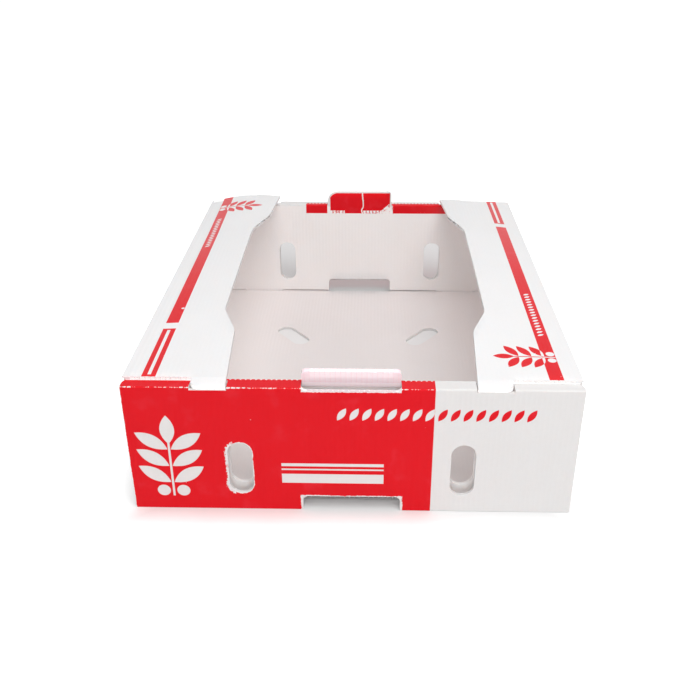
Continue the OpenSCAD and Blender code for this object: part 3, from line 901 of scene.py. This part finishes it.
# The flap mouths and the dipped tab tips are painted near white, as painted light where they lie in shade.
flap_ground = mix_colour(flaps, flap_mouths, flap_ground, MOUTH_LIT_WHITE)
flap_rib = place_group(flaps, rib_group, Across=flap_x)
flap_tone = place_group(flaps, tone_group, Point=flaps_mm, Web=flap_rib["Web"])
finish_sheet(flaps, flap_ground, flap_print, flap_worn["Scuff"], flap_tone, flap_rib, flap_mouths)
for name in ("left_flap", "right_flap"):
    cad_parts[name].material_slots[0].material = flap_material
print("both flaps wear", flap_material.name)

# %% [markdown]
# ## Floor and light
# The box stands on a white sweep under broad soft lamps. White plastic burns out easily, so the lamps stay
# low and the white of the background comes from the floor itself, which adds light of its own to what the
# camera sees. That glow fades out close to the box, so the floor keeps the shadow at its foot.

# %% Lay the floor
FLOOR_HALF = 6.0
FLOOR_LEVEL = -0.0003
FLOOR_CORNERS = ((-1, -1), (1, -1), (1, 1), (-1, 1))

floor_mesh = bpy.data.meshes.new("studio_floor")
floor_mesh.from_pydata(
    [(x * FLOOR_HALF, y * FLOOR_HALF, FLOOR_LEVEL) for x, y in FLOOR_CORNERS], [], [(0, 1, 2, 3)])
floor = bpy.data.objects.new("studio_floor", floor_mesh)
bpy.context.scene.collection.objects.link(floor)
print("floor", 2 * FLOOR_HALF, "m across")

# %% Let the floor glow away from the box
SWEEP_GREY = (0.82, 0.82, 0.82, 1)
SWEEP_ROUGHNESS = 0.9
SWEEP_SHINE = 0.1
WHITE = (1, 1, 1, 1)
SEEN_RAYS = ("Is Camera Ray", "Is Glossy Ray", "Is Transmission Ray")
GLOW_BESIDE = (0.17, 0.25)
GLOW_AHEAD = (-0.245, -0.3)
GLOW_FAR = (0.5, 0.63)
GLOW_BEHIND = (0.24, 0.27)
GLOW = 0.6
FAINT_GLOW = 0.07


def seen_rays(tree):
    light_path = add_node(tree, "ShaderNodeLightPath")
    return either(tree, *[light_path.outputs[name] for name in SEEN_RAYS])


floor_material = bpy.data.materials.new("white_sweep")
floor_material.use_nodes = True
sweep = floor_material.node_tree
sweep_shader = sweep.nodes["Principled BSDF"]
sweep_shader.inputs["Base Color"].default_value = SWEEP_GREY
sweep_shader.inputs["Roughness"].default_value = SWEEP_ROUGHNESS
sweep_shader.inputs["Specular IOR Level"].default_value = SWEEP_SHINE
sweep_shader.inputs["Emission Color"].default_value = WHITE
sweep_x, sweep_y, _ = split(sweep, add_node(sweep, "ShaderNodeTexCoord").outputs["Object"])
glow_clear = either(
    sweep, step(sweep, unsigned(sweep, sweep_x), *GLOW_BESIDE), step(sweep, sweep_y, *GLOW_AHEAD),
    step(sweep, sweep_y, *GLOW_FAR))
glow_behind = scaled(sweep, step(sweep, sweep_y, *GLOW_BEHIND), FAINT_GLOW)
sweep_glow = scaled(sweep, glow_clear, GLOW, glow_behind)
feed(sweep, sweep_shader.inputs["Emission Strength"], both(sweep, seen_rays(sweep), sweep_glow))
floor_mesh.materials.append(floor_material)
print("floor wears", floor_material.name)

# %% Hang the lamps
def soft_lamp(name, place, target, size, power):
    lamp = bpy.data.objects.new(name, bpy.data.lights.new(name, "AREA"))
    lamp.data.shape = "DISK"
    lamp.data.size = size
    lamp.data.energy = power
    lamp.location = place
    aim = Vector(target) - Vector(place)
    lamp.rotation_euler = aim.to_track_quat("-Z", "Y").to_euler()
    bpy.context.scene.collection.objects.link(lamp)
    return lamp


lamps = [
    soft_lamp("main_lamp", place=(0.35, -1.05, 1.72), target=(0, 0, 0.06), size=1.5, power=23),
    soft_lamp("top_lamp", place=(0, 0.2, 1.6), target=(0, 0, 0), size=1.3, power=3),
    soft_lamp("low_lamp", place=(-0.2, -1.9, 0.3), target=(0, 0, 0.12), size=0.9, power=5)]
print("lamps:", [lamp.name for lamp in lamps])

# %% Light the room
ROOM_LIGHT = 0.42

world = bpy.data.worlds.new("white_room")
world.use_nodes = True
room = world.node_tree
room_light = room.nodes["Background"]
room_light.inputs["Color"].default_value = WHITE
feed(room, room_light.inputs["Strength"], scaled(room, seen_rays(room), 1 - ROOM_LIGHT, ROOM_LIGHT))
bpy.context.scene.world = world
bpy.context.scene.view_settings.view_transform = "Standard"
print("room light", ROOM_LIGHT)
